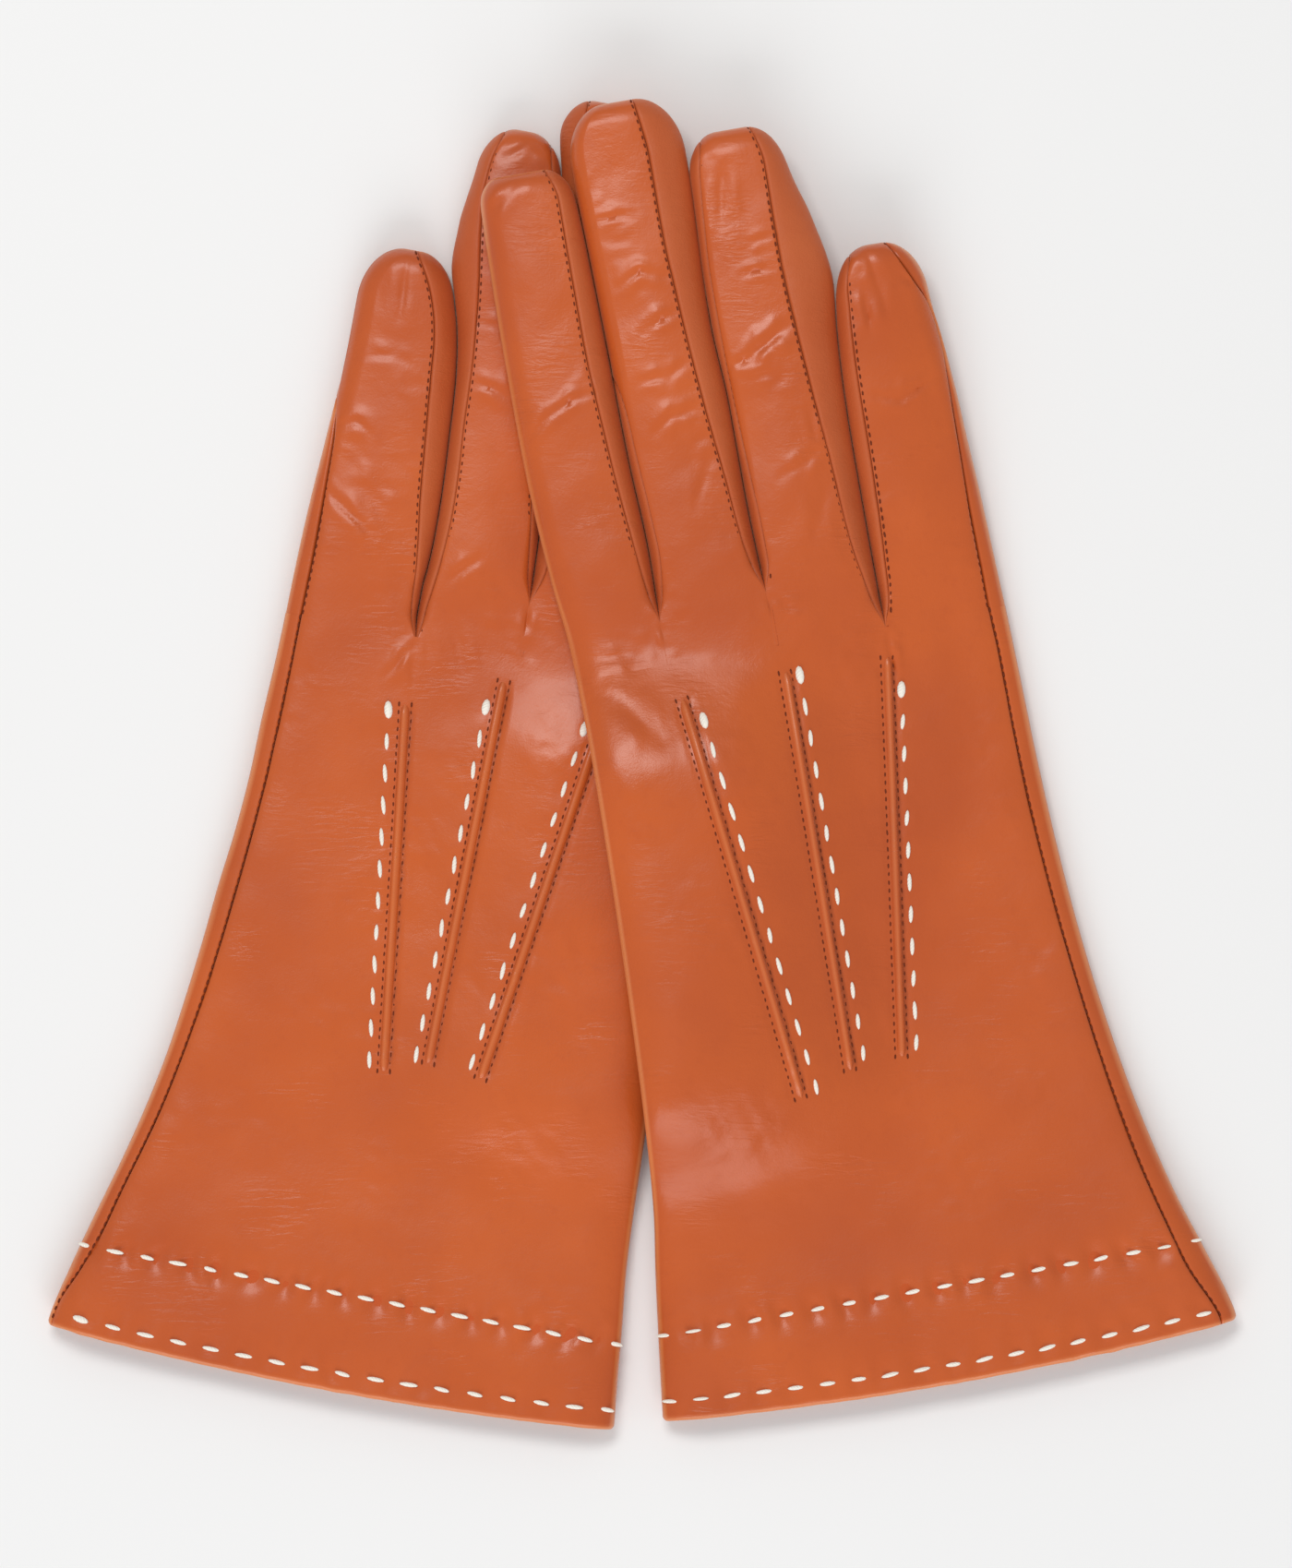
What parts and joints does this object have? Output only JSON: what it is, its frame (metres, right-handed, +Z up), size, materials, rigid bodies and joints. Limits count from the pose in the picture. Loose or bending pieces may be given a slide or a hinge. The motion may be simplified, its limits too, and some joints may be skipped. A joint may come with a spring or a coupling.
{
  "type": "leather gloves",
  "caption": "Pair of unlined leather dress gloves with flared cuffs, fourchettes between the fingers, raised points and running-stitched hems, lying flat with the right one on top.",
  "frame": {"origin": "middle of the pair's footprint, on the table it lies on", "axes": "+X towards the outer side of the right-hand glove, +Y towards the fingertips, +Z up from the table"},
  "size_m": [0.2472, 0.2762, 0.0237],
  "materials": {
    "glazed_leather": "tan-orange glazed nappa, satin sheen with fine grain",
    "fourchette_leather": "the same nappa, a little lighter and less glazed",
    "facing_leather": "flesh side of the turned-up hem, matt",
    "white_thread": "thick cream sewing thread"
  },
  "bodies": {
    "left_glove": {"left_hand_back": "glazed_leather", "left_hand_palm": "glazed_leather", "left_ring_fourchette_root": "fourchette_leather", "left_back_hem_facing": "facing_leather", "left_palm_hem_facing": "facing_leather", "left_thumb_upper": "glazed_leather", "left_thumb_lower": "glazed_leather", "left_index_point_welt": "glazed_leather", "left_index_point_thread": "white_thread", "left_middle_point_welt": "glazed_leather", "left_middle_point_thread": "white_thread", "left_ring_point_welt": "glazed_leather", "left_ring_point_thread": "white_thread", "left_upper_hem_thread": "white_thread", "left_lower_hem_thread": "white_thread", "left_index_back": "glazed_leather", "left_index_palm": "glazed_leather", "left_index_outer_fourchette": "fourchette_leather", "left_middle_back": "glazed_leather", "left_middle_palm": "glazed_leather", "left_middle_inner_fourchette": "fourchette_leather", "left_middle_outer_fourchette": "fourchette_leather", "left_ring_back": "glazed_leather", "left_ring_palm": "glazed_leather", "left_ring_inner_fourchette": "fourchette_leather", "left_ring_outer_fourchette": "fourchette_leather"},
    "left_little_finger": {"left_little_back": "glazed_leather", "left_little_palm": "glazed_leather", "left_little_inner_fourchette": "fourchette_leather"},
    "right_glove": {"right_hand_back": "glazed_leather", "right_hand_palm": "glazed_leather", "right_ring_fourchette_root": "fourchette_leather", "right_back_hem_facing": "facing_leather", "right_palm_hem_facing": "facing_leather", "right_thumb_upper": "glazed_leather", "right_thumb_lower": "glazed_leather", "right_index_point_welt": "glazed_leather", "right_index_point_thread": "white_thread", "right_middle_point_welt": "glazed_leather", "right_middle_point_thread": "white_thread", "right_ring_point_welt": "glazed_leather", "right_ring_point_thread": "white_thread", "right_upper_hem_thread": "white_thread", "right_lower_hem_thread": "white_thread"},
    "right_index_finger": {"right_index_back": "glazed_leather", "right_index_palm": "glazed_leather", "right_index_outer_fourchette": "fourchette_leather"},
    "right_middle_finger": {"right_middle_back": "glazed_leather", "right_middle_palm": "glazed_leather", "right_middle_inner_fourchette": "fourchette_leather", "right_middle_outer_fourchette": "fourchette_leather"},
    "right_ring_finger": {"right_ring_back": "glazed_leather", "right_ring_palm": "glazed_leather", "right_ring_inner_fourchette": "fourchette_leather", "right_ring_outer_fourchette": "fourchette_leather"},
    "right_little_finger": {"right_little_back": "glazed_leather", "right_little_palm": "glazed_leather", "right_little_inner_fourchette": "fourchette_leather"}
  },
  "joints": [
    {"name": "right_glove_lift", "type": "slide", "parent": "left_glove", "child": "right_glove", "axis": [0, 0, 1], "range_m": [0, 0.08]},
    {"name": "left_little_bend", "type": "hinge", "parent": "left_glove", "child": "left_little_finger", "pos_m": [-0.06175, 0.02947, 0.0072], "axis": [0.9831, -0.1831, 0], "range_deg": [0, 60]},
    {"name": "right_index_bend", "type": "hinge", "parent": "right_glove", "child": "right_index_finger", "pos_m": [-0.00591, 0.02773, 0.0151], "axis": [0.9845, 0.1754, 0], "range_deg": [0, 60]},
    {"name": "right_middle_bend", "type": "hinge", "parent": "right_glove", "child": "right_middle_finger", "pos_m": [0.01454, 0.03381, 0.015], "axis": [0.9845, 0.1754, 0], "range_deg": [0, 60]},
    {"name": "right_ring_bend", "type": "hinge", "parent": "right_glove", "child": "right_ring_finger", "pos_m": [0.03708, 0.03782, 0.0149], "axis": [0.9845, 0.1754, 0], "range_deg": [0, 60]},
    {"name": "right_little_bend", "type": "hinge", "parent": "right_glove", "child": "right_little_finger", "pos_m": [0.06289, 0.03094, 0.01072], "axis": [0.9845, 0.1754, 0], "range_deg": [0, 60]}
  ]
}
